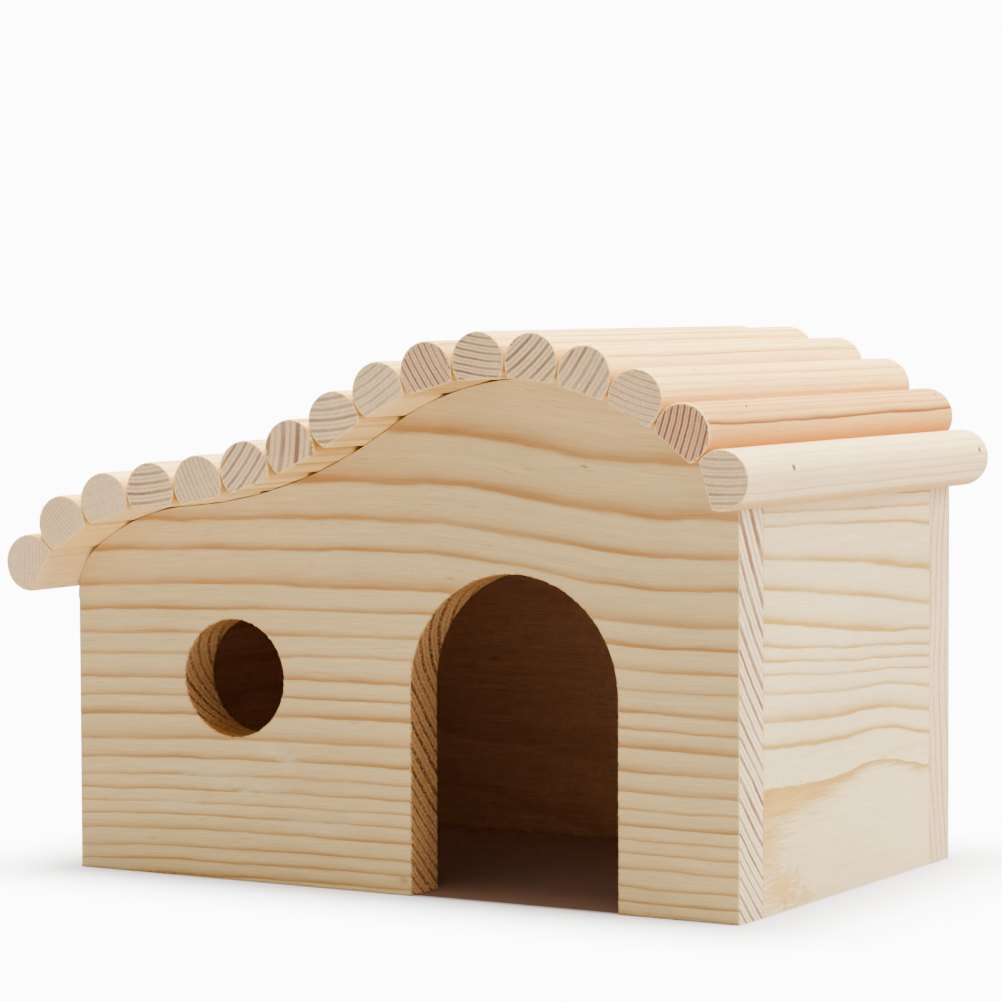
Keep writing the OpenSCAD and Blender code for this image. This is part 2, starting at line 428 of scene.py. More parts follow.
fibre = noise_node(pine, shifted, (5.0, 0.11, 5.0), 4.0, 0.65)
streak = noise_node(pine, shifted, (0.9, 0.012, 0.9), 3.0, 0.6)
blotch = noise_node(pine, shifted, (0.035, 0.012, 0.035), 1.0)
specks = noise_node(pine, shifted, (2.6, 2.6, 2.6), 2.0, 0.7)
hairs = remap(pine, fibre, 0.25, 0.75, -0.19, 0.19)
shade = plus(pine, hairs, remap(pine, streak, 0.25, 0.75, -0.08, 0.08))
shade = times(pine, shade, given["Streaks"])
shade = plus(pine, shade, remap(pine, blotch, 0.3, 0.7, 0.93, 1.05))
on_face, on_end = (remap(pine, specks, 0.3, 0.7, *ends) for ends in ((0.97, 1.03), (0.84, 1.06)))
shade = times(pine, shade, mix_node(pine, end_grain, on_face, on_end))
along_grain = minus(pine, 1.0, end_grain)

spring = blend(pine, end_grain, given["Spring Wood"], given["Spring End"])
autumn = blend(pine, end_grain, given["Summer Wood"], given["Summer End"])
resin = noise_node(pine, shifted, (1.7, 0.16, 1.7), 1.0)
resin = times(pine, remap(pine, resin, 0.69, 0.78, 0, 0.4, smooth=True), along_grain)
summer = math_node(pine, "MAXIMUM", summer, resin)
tinted = scale_node(pine, blend(pine, summer, spring, autumn), shade)
sawn = read_mark(pine, "sawn")
# Saw burn and painted shade: the cut faces of the openings are multiplied by a brown.
colour = blend(pine, sawn, tinted, SAW_BURN_AND_SHADE, "MULTIPLY")
crumbs = noise_node(pine, shifted, (2.4, 1.6, 2.4), 1.0)
crumbs = times(pine, sawn, remap(pine, crumbs, 0.52, 0.66, 0, 0.5, smooth=True))
colour = blend(pine, crumbs, colour, SAWN_CRUMBS)
arris = read_mark(pine, "arris")
# The pale rim is partly frayed fibres, partly a painted highlight.
fray_and_highlight = plus(pine, arris, remap(pine, specks, 0.3, 0.7, -0.75, 0.35))
fray_and_highlight = remap(pine, fray_and_highlight, 0.25, 0.75, 0, 0.8, smooth=True)
fray_and_highlight = times(pine, fray_and_highlight, minus(pine, 1.0, times(pine, sawn, 0.6)))
colour = blend(pine, fray_and_highlight, colour, FRAY_AND_HIGHLIGHT)
flank = read_mark(pine, "flank")
# The dark orange on the log sides is partly aged glue and dust, partly painted shade where the logs
# meet.
age_and_shade = remap(pine, plus(pine, flank, streak), 0.8, 1.4, 0, 0.75, smooth=True)
colour = blend(pine, times(pine, age_and_shade, along_grain), colour, AGE_AND_SHADE)
# Painted shade: the inner faces are multiplied by a deep red brown.
colour = blend(pine, given["Inside"], colour, INSIDE_PAINTED_SHADE, "MULTIPLY")
pine.links.new(colour, result["Color"])
print("colour nodes:", len(pine.nodes))

# %% Build the pine group: roughness and height
rough = remap(pine, summer, 0, 1, 0.62, 0.5)
rough = plus(pine, rough, remap(pine, fibre, 0.2, 0.8, -0.05, 0.05))
rough = plus(pine, rough, times(pine, end_grain, 0.2), clamp=True)
pine.links.new(rough, result["Roughness"])

saw = noise_node(pine, shifted, (0.6, 0.6, 3.5), 2.0, 0.6)
face_height = plus(pine, times(pine, fibre, 0.5), times(pine, summer, 0.08))
end_height = plus(pine, plus(pine, saw, specks), times(pine, crumbs, 2.0))
pine.links.new(mix_node(pine, end_grain, face_height, end_height), result["Height"])
print("pine nodes:", len(pine.nodes))

# %% [markdown]
# ## Group 3: inside or outside
# The inner faces get painted shade: a deep red brown that stands in for the dark inside
# the house. This group is 1 on any face that looks into the room, between the boards and
# the walls. A face that looks up doesn't count. For the logs only the flat side does,
# which looks well down.

# %% Build the inside group
ROOM_MARGIN = 0.1 * MM

room, given, result = new_group(
    "room", {VECTOR: ["Place"], FLOAT: ["Highest Look"]}, {FLOAT: ["Inside"]}
)
room_low, room_high = spot(WALL, BOARD, 0), spot(HOUSE_WIDTH - WALL, HOUSE_DEPTH - BOARD, 0)
inside = 1.0
for value, low, high in zip(split(room, given["Place"]), room_low.xy, room_high.xy):
    inside = times(room, inside, math_node(room, "GREATER_THAN", value, low - ROOM_MARGIN))
    inside = times(room, inside, math_node(room, "LESS_THAN", value, high + ROOM_MARGIN))
up = split(room, put(room, "ShaderNodeNewGeometry").outputs["Normal"])["Z"]
inside = times(room, inside, math_node(room, "LESS_THAN", up, given["Highest Look"]))
room.links.new(inside, result["Inside"])
print("room nodes:", len(room.nodes))

# %% [markdown]
# ## Group 4: a mark on the wood
# A tiny knot, a rubbed patch or a stain is a soft oval with a ragged edge. The group
# measures how far a point is from its middle, in ovals, and shakes that with noise that
# is stretched along the fibres.

# %% Build the mark group
blot, given, result = new_group(
    "mark", {VECTOR: ["Wood", "Centre", "Size"], FLOAT: ["Strength"]}, {FLOAT: ["Mask"]}
)
offset = vector_node(blot, "SUBTRACT", given["Wood"], given["Centre"])
ovals = vector_node(blot, "LENGTH", vector_node(blot, "DIVIDE", offset, given["Size"]))
ragged = noise_node(blot, given["Wood"], (1.6, 0.3, 1.6), 3.0, 0.65)
ovals = plus(blot, ovals, remap(blot, ragged, 0.25, 0.75, -0.6, 0.6))
mask = remap(blot, ovals, 0.2, 1.0, 1, 0, smooth=True)
blot.links.new(times(blot, mask, given["Strength"]), result["Mask"])
print("mark nodes:", len(blot.nodes))

# %% [markdown]
# ## From groups to a material
# Each board and each log was cut from another place in another tree. A Mapping node of
# the texture kind moves the heart of that tree to the origin, turns the fibres onto y
# and divides by the scale, so that the groups see millimetres. Every piece sits at
# the origin unturned, so Object coordinates are the house's own coordinates.


# %% Helper for a pine material
ALONG_X, ALONG_Y = (0, 0, math.radians(-90)), (0, 0, 0)
ENDS = ((0.85, 0.67, 0.42), (0.22, 0.09, 0.045))
SHINE, BUMP_STRENGTH, BUMP_HEIGHT = 0.25, 0.5, 0.0002


def pine_material(name, heart, fibres, spring, autumn, contrast, seed, count_years,
                  wander, shake, streaks=1.0, bend=None, ends=ENDS, look=0.35,
                  marks=(), weakest=WEAKEST):
    """A finished pine. count_years gets the trunk node and gives the years."""
    material, tree, shader = new_material(name)
    place = put(tree, "ShaderNodeTexCoord").outputs["Object"]
    inside = use_group(tree, room, Place=place, Highest_Look=look).outputs["Inside"]
    if bend:
        place = bend(tree, place)
    wood = put(tree, "ShaderNodeMapping", {"vector_type": "TEXTURE"}, Vector=place,
               Location=heart, Rotation=fibres, Scale=(MM, MM, MM)).outputs["Vector"]
    trunk_node = use_group(tree, trunk, Wood=wood, Wander=wander, Shake=shake, Seed=seed)
    pine_node = use_group(
        tree, pine, Wood=wood, Years=count_years(tree, trunk_node),
        Fibre_Axis=(1, 0, 0) if fibres == ALONG_X else (0, 1, 0),
        Spring_Wood=(*spring, 1), Summer_Wood=(*autumn, 1),
        Spring_End=(*ends[0], 1), Summer_End=(*ends[1], 1),
        Contrast=contrast, Streaks=streaks, Seed=seed, Inside=inside, Weakest=weakest,
    )
    colour = pine_node.outputs["Color"]
    for centre, size, strength, tint in marks:
        mark = use_group(tree, blot, Wood=wood, Centre=centre, Size=size, Strength=strength)
        colour = blend(tree, mark.outputs["Mask"], colour, (*tint, 1))
    tree.links.new(colour, shader.inputs["Base Color"])
    tree.links.new(pine_node.outputs["Roughness"], shader.inputs["Roughness"])
    shader.inputs["Specular IOR Level"].default_value = SHINE
    bump = put(tree, "ShaderNodeBump", Height=pine_node.outputs["Height"],
               Strength=BUMP_STRENGTH, Distance=BUMP_HEIGHT)
    tree.links.new(bump.outputs["Normal"], shader.inputs["Normal"])
    return material


def even_years(width):
    """Rings of about the same width."""
    return lambda tree, trunk: times(tree, trunk.outputs["Distance"], 1 / width)


print("materials follow, one for each piece of wood")

# %% [markdown]
# ## The front board's own rings
# The tree's heart was behind and above the board, so the lines crowd together towards
# the bottom. We list the height of each ring over the board's middle and draw a curve
# from distance to years. The trunk was bowed as well: every line falls a little to the
# left, and to the right of the doorway the upper ones fall more than the lower ones.

# %% Make the front board's pine
FRONT_HEART_Y, FRONT_HEART_Z = 145.0, 151.0
LEFT_FALL, LEFT_FALL_START = 2.1, 74
RIGHT_FALL_START, RIGHT_FALL_END = 82, 136
LOW_RINGS, HIGH_RINGS, LOW_FALL, HIGH_FALL = 26, 58, 1.5, 5.4
FRONT_RINGS = (
    -5, -2, 1, 3.8, 6.5, 10, 13, 15.5, 18.2, 21.1, 24.5, 28.4, 33.4, 37.3, 40.8, 45.5,
    49.7, 54.6, 59.4, 66.4, 72.4, 79.8, 89.8, 103, 120, 140,
)


def front_years(tree, trunk):
    """Years from the distance to the heart, one more for each ring in the list."""
    reach = [math.hypot(FRONT_HEART_Y, FRONT_HEART_Z - z) for z in reversed(FRONT_RINGS)]
    share = remap(tree, trunk.outputs["Distance"], reach[0], reach[-1], 0, 1)
    last = len(reach) - 1
    points = [((r - reach[0]) / (reach[-1] - reach[0]), i / last) for i, r in enumerate(reach)]
    return times(tree, curve_node(tree, share, points), last)


def front_bend(tree, place):
    """Lifts each point to the height that its ring has over the board's middle."""
    x, _, z = split(tree, place)
    to_left = remap(tree, x, spot(0, 0, 0).x, spot(LEFT_FALL_START, 0, 0).x, 1, 0)
    left_fall = times(tree, times(tree, to_left, to_left), LEFT_FALL * MM)
    start, end = spot(RIGHT_FALL_START, 0, 0).x, spot(RIGHT_FALL_END, 0, 0).x
    to_right = remap(tree, x, start, end, 0, 1, smooth=True)
    most = remap(tree, z, LOW_RINGS * MM, HIGH_RINGS * MM, LOW_FALL * MM, HIGH_FALL * MM)
    fall = math_node(tree, "MULTIPLY_ADD", to_right, most, left_fall)
    return vector_node(tree, "ADD", place, join(tree, z=fall))


RUBBED, KNOT, STAIN = (0.70, 0.56, 0.31), (0.30, 0.13, 0.04), (0.42, 0.22, 0.08)
FRONT_MARKS = (
    (46.7, 26.8, 4.5, 1.6, 0.45, RUBBED), (44.0, 19.1, 8.0, 1.8, 0.45, RUBBED),
    (23.9, 15.5, 10.0, 1.6, 0.4, RUBBED), (50.5, 24.6, 3.2, 2.4, 0.4, RUBBED),
    (58.0, 12.0, 11.0, 2.0, 0.3, RUBBED), (33.0, 21.0, 12.0, 3.5, 0.3, RUBBED),
    (117.7, 87.9, 1.3, 0.35, 0.8, KNOT), (87.9, 62.2, 1.6, 0.3, 0.6, KNOT),
    (77.6, 3.0, 1.4, 0.9, 0.8, STAIN),
)
MARK_DEPTH = 8.0


def front_mark(x, z, wide, high, strength, tint):
    """A mark on the front face, as wood space sees it: y runs along the board."""
    centre = (FRONT_HEART_Y, x - MIDDLE_X, z - FRONT_HEART_Z)
    return centre, (MARK_DEPTH, wide, high), strength, tint


front_pine = pine_material(
    "front_board_pine", spot(MIDDLE_X, FRONT_HEART_Y, FRONT_HEART_Z), ALONG_X,
    (0.65, 0.455, 0.185), (0.40, 0.18, 0.035), contrast=0.95, seed=3.0, count_years=front_years,
    wander=0.6, shake=0.65, bend=front_bend, ends=((0.90, 0.68, 0.38), (0.24, 0.11, 0.045)),
    marks=[front_mark(*mark) for mark in FRONT_MARKS],
)
print("front board rings:", len(FRONT_RINGS), "marks:", len(FRONT_MARKS))

# %% [markdown]
# ## The right wall's own rings
# This wall was sawn along the skin of the tree, so its rings are broad and wavy. We list
# their heights at the front edge, and how far each has dropped at the back edge. Near
# the floor the saw just grazed one ring: it shows as a low hill with a bright rim, and
# honey coloured patches where a thin skin of that ring was left.

# %% Make the right wall's pine
WALL_RINGS = (
    24.0, 31.5, 36.4, 41.7, 45.4, 48.0, 50.8, 54.9, 61.2, 66.8, 73.0, 75.4, 78.0, 80.4, 90.0
)
WALL_DROPS = (
    (0, 3.6), (22, 3.6), (30, 5), (40, 5.3), (47, 6), (50, 8), (57, 7.5), (66, 5), (73, 2), (90, 2)
)
MOST_DROP = 10
HILLTOP, HILL_WIDTH, HILL_HEIGHT, HILL_FOOT = 52.0, 15, 3.4, 28
HONEY = (0.60, 0.34, 0.045)
WALL_MARKS = [
    ((0, y, z), (MARK_DEPTH, wide, high), strength, HONEY)
    for y, z, wide, high, strength in (
        (8, 20.5, 17, 4.0, 0.7), (2, 13, 8, 9, 0.6), (8, 4.5, 11, 5.5, 0.75),
        (16, 1.5, 10, 3.0, 0.55), (24, 21, 12, 1.6, 0.4), (60, 25, 22, 1.0, 0.3),
    )
]


def right_years(tree, trunk):
    """Years from the height on the wall, with the rings' drop and the hill worked in."""
    x, y, z = split(tree, trunk.outputs["Place"])
    low, high, last = WALL_RINGS[0], WALL_RINGS[-1], len(WALL_RINGS) - 1
    drops = [(up / high, down / MOST_DROP) for up, down in WALL_DROPS]
    to_back = remap(tree, y, 0, HOUSE_DEPTH - 2 * BOARD, 0, MOST_DROP)
    drop = curve_node(tree, times(tree, z, 1 / high), drops)
    height = math_node(tree, "MULTIPLY_ADD", drop, to_back, z)
    height = math_node(tree, "MULTIPLY_ADD", x, -0.4, height)
    from_hilltop = times(tree, minus(tree, y, HILLTOP), 1 / HILL_WIDTH)
    bump = math_node(tree, "EXPONENT", times(tree, times(tree, from_hilltop, from_hilltop), -1.0))
    lift = times(tree, remap(tree, z, 20, 45, 1, 0), -HILL_HEIGHT)
    height = math_node(tree, "MULTIPLY_ADD", bump, lift, height)
    points = [((z - low) / (high - low), (last - i) / last) for i, z in enumerate(WALL_RINGS)]
    points[0:1] = [(0, (last - 0.95) / last), ((HILL_FOOT - low) / (high - low), (last - 0.7) / last)]
    above = times(tree, curve_node(tree, remap(tree, height, low, high, 0, 1), points), last)
    near = math_node(tree, "POWER", remap(tree, y, 0, HILLTOP, 1, 0), 1.6)
    fade = math_node(tree, "MULTIPLY_ADD", near, 24.0, 4.0)
    sunk = math_node(tree, "DIVIDE", minus(tree, low, height), fade)
    drips = noise_node(tree, trunk.outputs["Place"], (1.3, 0.06, 1.3), 3.0, 0.65)
    drips = times(tree, remap(tree, drips, 0.3, 0.7, -0.3, 0.4), remap(tree, sunk, 0, 0.4, 0, 1))
    sunk = math_node(tree, "MAXIMUM", plus(tree, sunk, drips), 0.0)
    sunk = math_node(tree, "MINIMUM", sunk, 1.0)
    below = math_node(tree, "MULTIPLY_ADD", sunk, -0.55, last - 1.04)
    return mix_node(tree, math_node(tree, "LESS_THAN", height, low), above, below)


right_pine = pine_material(
    "right_wall_pine", spot(HOUSE_WIDTH, BOARD, 0), ALONG_Y,
    (0.83, 0.62, 0.31), (0.50, 0.27, 0.03), contrast=1.1, seed=31.0, count_years=right_years,
    wander=1.6, shake=1.0, streaks=0.7, marks=WALL_MARKS,
)
print("right wall rings:", len(WALL_RINGS), "marks:", len(WALL_MARKS))

# %% Make the pine of the back board and the left wall
back_pine = pine_material(
    "back_board_pine", spot(0, 330, 40), ALONG_X, (0.80, 0.57, 0.28), (0.46, 0.22, 0.05),
    contrast=0.8, seed=11.0, count_years=even_years(2.6),
    wander=7.0, shake=0.8, ends=((0.86, 0.61, 0.34), (0.52, 0.28, 0.14)),
)
left_pine = pine_material(
    "left_wall_pine", spot(60, 0, 12), ALONG_Y, (0.82, 0.60, 0.30), (0.50, 0.26, 0.04),
    contrast=0.85, seed=23.0, count_years=even_years(3.4), wander=6.0, shake=0.8,
)
print("boards:", [m.name for m in (front_pine, back_pine, left_pine, right_pine)])

# %% [markdown]
# ## Boards with sawn edges
# A board is an outline carried from one face to the other. A saw never leaves a perfect
# corner: edges are a little rounded, and the curved cuts of the openings are rough, with
# small chips where the blade came out. So the rim is built from several loops of points,
# and noise pushes each point into the wood a little.


# %% Helpers for outlines
def arc(centre, radius, start, end, step=0.8):
    """Points on an arc, with angles in degrees."""
    count = max(2, int(abs(math.radians(end - start)) * radius / step))
    angles = [math.radians(start + (end - start) * i / count) for i in range(count + 1)]
    return [(centre[0] + radius * math.cos(a), centre[1] + radius * math.sin(a)) for a in angles]


def straight(a, b, step=0.8):
    """Points on a straight line, without its last one."""
    count = max(1, int(math.dist(a, b) / step))
    return [tuple(p + (q - p) * i / count for p, q in zip(a, b)) for i in range(count)]


def heading(a, b):
    """The direction from one point to another, in degrees."""
    return math.degrees(math.atan2(b[1] - a[1], b[0] - a[0]))


def roof_line():
    """The wavy line under the logs, from the right wall to the left one."""
    line = arc(RIGHT_CORNER, RIGHT_CORNER_RADIUS, 0, heading(HUMP, RIGHT_CORNER))
    line += arc(HUMP, HUMP_RADIUS, heading(HUMP, RIGHT_CORNER), heading(HUMP, HOLLOW))[1:]
    line += arc(HOLLOW, HOLLOW_RADIUS, heading(HOLLOW, HUMP), heading(HOLLOW, SHOULDER))[1:]
    to_corner = heading(SHOULDER, LEFT_CORNER)
    line += arc(SHOULDER, SHOULDER_RADIUS, heading(SHOULDER, HOLLOW), to_corner)[1:]
    line += arc(LEFT_CORNER, LEFT_CORNER_RADIUS, to_corner, 180)[1:]
    return line


print("roof line points:", len(roof_line()))


# %% Helper for a sawn board
PLANED, SAWN, ROOF_EDGE = 0.03, 0.3, 0.02
EASE, GLUE, CREASE = 0.35, 0.14, math.radians(40)


def cut(points, rough):
    """Points with how rough the cut is there, in millimetres."""
    return [(point, rough) for point in points]


def sawn_board(name, loops, y_front, y_back, material, node, step=1.2):
    """A board from closed loops of cut points: the outline first, then the holes. Along
    the roof line it is thicker by the glue that was squeezed out under the logs."""
    depth = y_back - y_front
    inner = max(1, int((depth - 2 * EASE) / step))
    levels = [(0, EASE), (EASE * 0.3, EASE * 0.3)]
    levels += [(EASE + (depth - 2 * EASE) * i / inner, 0.0) for i in range(inner + 1)]
    levels += [(depth - EASE * 0.3, EASE * 0.3), (depth, EASE)]
    points, faces, caps, arris, sawn = [], [], ([], []), [], []
    for loop in loops:
        count, first = len(loop), len(points)
        for depth_here, inset in levels:
            for i, ((x, z), rough) in enumerate(loop):
                before, after = Vector(loop[i - 1][0]), Vector(loop[(i + 1) % count][0])
                along = (after - before).normalized()
                ripple = 0.5 + 0.5 * noise.noise(Vector((x * 2.3, z * 2.3, depth_here * 1.1)))
                chip = noise.noise(Vector((x * 1.7, z * 1.7, 7.0 + 9.0 * (depth_here > depth / 2))))
                fit = 0.3 if rough == ROOF_EDGE else 1.0
                inward = inset * fit * (1 + min(1.0, rough * 6) * chip) + rough * ripple
                inward -= GLUE if rough == ROOF_EDGE else 0.0
                points.append(spot(x - along.y * inward, y_front + depth_here, z + along.x * inward))
                # The arris mark feeds the pale fray and painted highlight along the edges.
                arris.append(float(0 < inset < EASE) * fit)
                # The sawn mark feeds the saw burn and painted shade of the openings.
                sawn.append(float(rough == SAWN and inset < EASE))
        for level in range(len(levels) - 1):
            for i in range(count):
                a, b = first + level * count + i, first + level * count + (i + 1) % count
                faces.append((a, b, b + count, a + count))
        caps[0].append(range(first, first + count))
        caps[1].append(range(len(points) - count, len(points)))
    for side, cap in enumerate(caps):
        order = [i for ring in cap for i in ring]
        flat = [[Vector((points[i].x, points[i].z, 0)) for i in ring] for ring in cap]
        for triangle in tessellate_polygon(flat):
            a, b, c = (order[i] for i in triangle)
            up = (points[b] - points[a]).cross(points[c] - points[a]).y > 0
            faces.append((a, b, c) if up == bool(side) else (a, c, b))
    mesh = bpy.data.meshes.new(name)
    mesh.from_pydata(points, [], faces)
    for title, values in (("arris", arris), ("sawn", sawn)):
        mesh.attributes.new(title, "FLOAT", "POINT").data.foreach_set("value", values)
    mesh.shade_smooth()
    mesh.set_sharp_from_angle(angle=CREASE)
    mesh.materials.append(material)
    board = add_object(name, mesh)
    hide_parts(node)
    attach(board, "root")
    print(name, "faces:", len(mesh.polygons))


# %% [markdown]
# ## The front board
# Its outline runs round the doorway, up the right edge, over the roof line and down the
# left edge. The window is a second loop, walked the other way round.

# %% Make the front board
FINE = 0.45
door_left, door_right = DOOR_X - DOOR_WIDTH / 2, DOOR_X + DOOR_WIDTH / 2
doorway = straight((door_left, 0), (door_left, DOOR_SPRING), FINE)
doorway += arc((DOOR_X, DOOR_SPRING), DOOR_WIDTH / 2, 180, 0, FINE)
doorway += straight((door_right, DOOR_SPRING), (door_right, 0), FINE)[1:]
right_edge = straight((HOUSE_WIDTH, 0), (HOUSE_WIDTH, RIGHT_CORNER[1]))
left_edge = straight((0, LEFT_CORNER[1]), (0, 0))[1:]
outline = cut(straight((0, 0), (door_left, 0)), PLANED) + cut(doorway, SAWN)
outline += cut(straight((door_right, 0), (HOUSE_WIDTH, 0)) + right_edge, PLANED)
outline += cut(roof_line(), ROOF_EDGE) + cut(left_edge, PLANED)
window = arc((WINDOW_X, WINDOW_Z), WINDOW_WIDTH / 2, 360, 0, FINE)[:-1]
sawn_board("front_board", [outline, cut(window, SAWN)],
           0, BOARD, front_pine, "front_panel", step=0.6)

# %% Make the back board and the walls
outline = straight((0, 0), (HOUSE_WIDTH, 0)) + right_edge + roof_line() + left_edge
sawn_board("back_board", [cut(outline, PLANED)],
           HOUSE_DEPTH - BOARD, HOUSE_DEPTH, back_pine, "back_panel")


def wall(name, x0, x1, material, node):
    """A side wall: its top is the piece of the roof line over it."""
    top = [p for p in roof_line() if x0 <= p[0] <= x1]
    outline = straight((x0, 0), (x1, 0)) + straight((x1, 0), top[0])
    outline += top + straight(top[-1], (x0, 0))[1:]
    sawn_board(name, [cut(outline, PLANED)],
               BOARD, HOUSE_DEPTH - BOARD, material, node, step=4.0)


wall("left_side", 0, WALL, left_pine, "left_wall")
wall("right_side", HOUSE_WIDTH - WALL, HOUSE_WIDTH, right_pine, "right_wall")

# %% [markdown]
# ## The roof logs
# Every log is the same thing made again: a round rod with one side planed flat, sawn off
# at both ends. Geometry Nodes suit that. The tree starts from a plain cylinder, gives it
# the flat side and crowds its loops towards the ends and the rims. Then it frays the
# rims, marks rims and sides for the material, drills the two nail holes and stands the
# log in its place. Only numbers differ from log to log.

# %% Places of the logs
LOG_WIDTH, LOG_SEAT, LOG_FRONT, LOG_BACK = 11.4, 3.4, -14.0, 95.0
LOG_MIDDLE = (LOG_FRONT + LOG_BACK) / 2
FRONT_NAIL, BACK_NAIL = BOARD / 2, HOUSE_DEPTH - BOARD / 2
LOGS = (
    (-1.746, 62.914, 63.0), (6.382, 70.907, 31.93), (16.722, 75.706, 17.86),
    (27.898, 77.958, 4.72), (39.182, 79.580, 11.65), (50.188, 82.552, 18.57),
    (60.755, 86.830, 25.50), (70.728, 92.351, 32.43), (80.639, 97.984, 25.23),
    (91.352, 101.883, 14.77), (102.594, 103.773, 4.31), (113.993, 103.591, -6.14),
    (125.169, 101.343, -16.60), (135.752, 97.105, -27.06), (145.389, 91.016, -37.51),
    (153.210, 82.721, -72.74),
)
print("logs:", len(LOGS))


# %% Helpers for Geometry Nodes
GEOMETRY, MATERIAL = "NodeSocketGeometry", "NodeSocketMaterial"


def new_shape(name, inputs):
    """A geometry tree: geometry goes in and comes out, and it has named inputs."""
    inputs = {GEOMETRY: ["Geometry"], MATERIAL: ["Material"], **inputs}
    return new_group(name, inputs, {GEOMETRY: ["Geometry"]}, "GeometryNodeTree")


def store(tree, geometry, name, value):
    """Writes a number on every point, for the material to read."""
    return put(tree, "GeometryNodeStoreNamedAttribute", {"data_type": "FLOAT", "domain": "POINT"},
               Geometry=geometry, Name=name, Value=value).outputs[0]


def deliver(tree, geometry, material, result):
    """The end of a geometry tree: real meshes, with their material."""
    real = put(tree, "GeometryNodeRealizeInstances", Geometry=geometry)
    painted = put(tree, "GeometryNodeSetMaterial", Geometry=real.outputs[0], Material=material)
    tree.links.new(painted.outputs[0], result["Geometry"])


def grown(tree, name, start_mesh=None, **values):
    """Runs a geometry tree with these inputs and returns the result as a plain mesh object."""
    carrier = add_object("carrier", start_mesh or bpy.data.meshes.new("carrier"))
    modifier = carrier.modifiers.new("shape", "NODES")
    modifier.node_group = tree
    for item in tree.interface.items_tree:
        key = item.name.replace(" ", "_")
        if item.in_out == "INPUT" and key in values:
            modifier[item.identifier] = values[key]
    evaluated = carrier.evaluated_get(bpy.context.evaluated_depsgraph_get())
    mesh = bpy.data.meshes.new_from_object(evaluated)
    bpy.data.objects.remove(carrier)
    mesh.name = name
    return add_object(name, mesh)


print("geometry helpers ready")

# %% Build the log tree
logs, given, result = new_shape("roof_log", {
    FLOAT: ["Diameter", "Seat", "Length", "Fray", "Seed", "Slope", "Hole", "Front Nail", "Back Nail"],
    VECTOR: ["Place"],
})
rod = put(logs, "GeometryNodeMeshCylinder", {"fill_type": "TRIANGLE_FAN"},
          Vertices=80, Side_Segments=34, Fill_Segments=8, Radius=1.0, Depth=2.0)
place = put(logs, "GeometryNodeInputPosition").outputs[0]
z = split(logs, place)["Z"]
flat_place = vector_node(logs, "MULTIPLY", place, (1, 1, 0))
radius = vector_node(logs, "LENGTH", flat_place)
way_x, way_y, _ = split(logs, vector_node(logs, "NORMALIZE", flat_place))
down = math_node(logs, "MAXIMUM", times(logs, way_y, -1.0), 0.001)
half = times(logs, given["Diameter"], 0.5)
reach = math_node(logs, "MINIMUM", half, math_node(logs, "DIVIDE", given["Seat"], down))
from_end = minus(logs, 1.0, math_node(logs, "ABSOLUTE", z))
crowded = minus(logs, 1.0, math_node(logs, "POWER", from_end, 3.0))
along = times(logs, math_node(logs, "SIGN", z), crowded)
along = times(logs, along, times(logs, given["Length"], 0.5))
from_rim = math_node(logs, "MAXIMUM", minus(logs, 1.0, radius), 0.0)
outward = minus(logs, 1.0, math_node(logs, "POWER", from_rim, 1.5))
print("log tree nodes so far:", len(logs.nodes))

# %% Fray the log's rims and stand it in its place
at_rim = remap(logs, from_end, 0.0, 0.25, 1.0, 0.0, smooth=True)
near_end = remap(logs, from_end, 0.12, 0.3, 1, 0)
rim_mark = times(logs, remap(logs, radius, 0.74, 1.0, 0, 1), near_end)
# The arris mark feeds the pale fray and painted highlight of the log rims.
marked = store(logs, rod.outputs["Mesh"], "arris", rim_mark)
# The flank mark feeds the aged colour and painted shade of the log sides.
sideways = math_node(logs, "ABSOLUTE", way_x)
marked = store(logs, marked, "flank", remap(logs, sideways, 0.8, 0.97, 0, 1))
seeded = vector_node(logs, "ADD", place, given["Seed"])
splinters = put(logs, "ShaderNodeTexNoise", Vector=seeded, Scale=10.0, Detail=3.0, Roughness=0.7)
splinters = remap(logs, splinters.outputs[0], 0.3, 0.7, 0.5, 1.5)
fray = times(logs, times(logs, splinters, at_rim), given["Fray"])
waves = remap(logs, noise_node(logs, seeded, (1.2, 1.2, 1.6), 1.0), 0.3, 0.7, 0.0, 0.06 * MM)
reach = times(logs, minus(logs, reach, plus(logs, fray, waves)), outward)
shaped = join(logs, times(logs, way_x, reach), times(logs, along, -1.0), times(logs, way_y, reach))
bent = put(logs, "GeometryNodeSetPosition", Geometry=marked, Position=shaped)
drill = put(logs, "GeometryNodeMeshCylinder", {"fill_type": "NGON"},
            Vertices=20, Radius=given["Hole"], Depth=1.6 * MM)
holes = put(logs, "GeometryNodeJoinGeometry")
for end in ("Front Nail", "Back Nail"):
    moved_drill = put(logs, "GeometryNodeTransform", Geometry=drill.outputs["Mesh"],
                      Translation=join(logs, y=given[end], z=half))
    logs.links.new(moved_drill.outputs[0], holes.inputs[0])
drilled = put(logs, "GeometryNodeMeshBoolean", {"operation": "DIFFERENCE", "solver": "EXACT"},
              i0=bent.outputs[0], i1=holes.outputs[0])
lean = join(logs, y=times(logs, given["Slope"], -1.0))
stood = put(logs, "GeometryNodeTransform", Geometry=drilled.outputs[0],
            Translation=given["Place"], Rotation=lean)
deliver(logs, stood.outputs[0], given["Material"], result)
print("log tree nodes:", len(logs.nodes))

# %% [markdown]
# ## Sixteen pieces of pine
# The rods were cut from many boards, so the rings on their ends run every way. For each
# log we say how its rings lie on the end, in degrees up from level, how wide and how
# strong they are, and the tone of the wood: 1 is rosy, 0 golden and -1 cool and pale.
# The heart of each tree is some centimetres away, at a right angle to those lines. Over
# most nails the wood has nearly closed again; on the last log the holes are wide open.

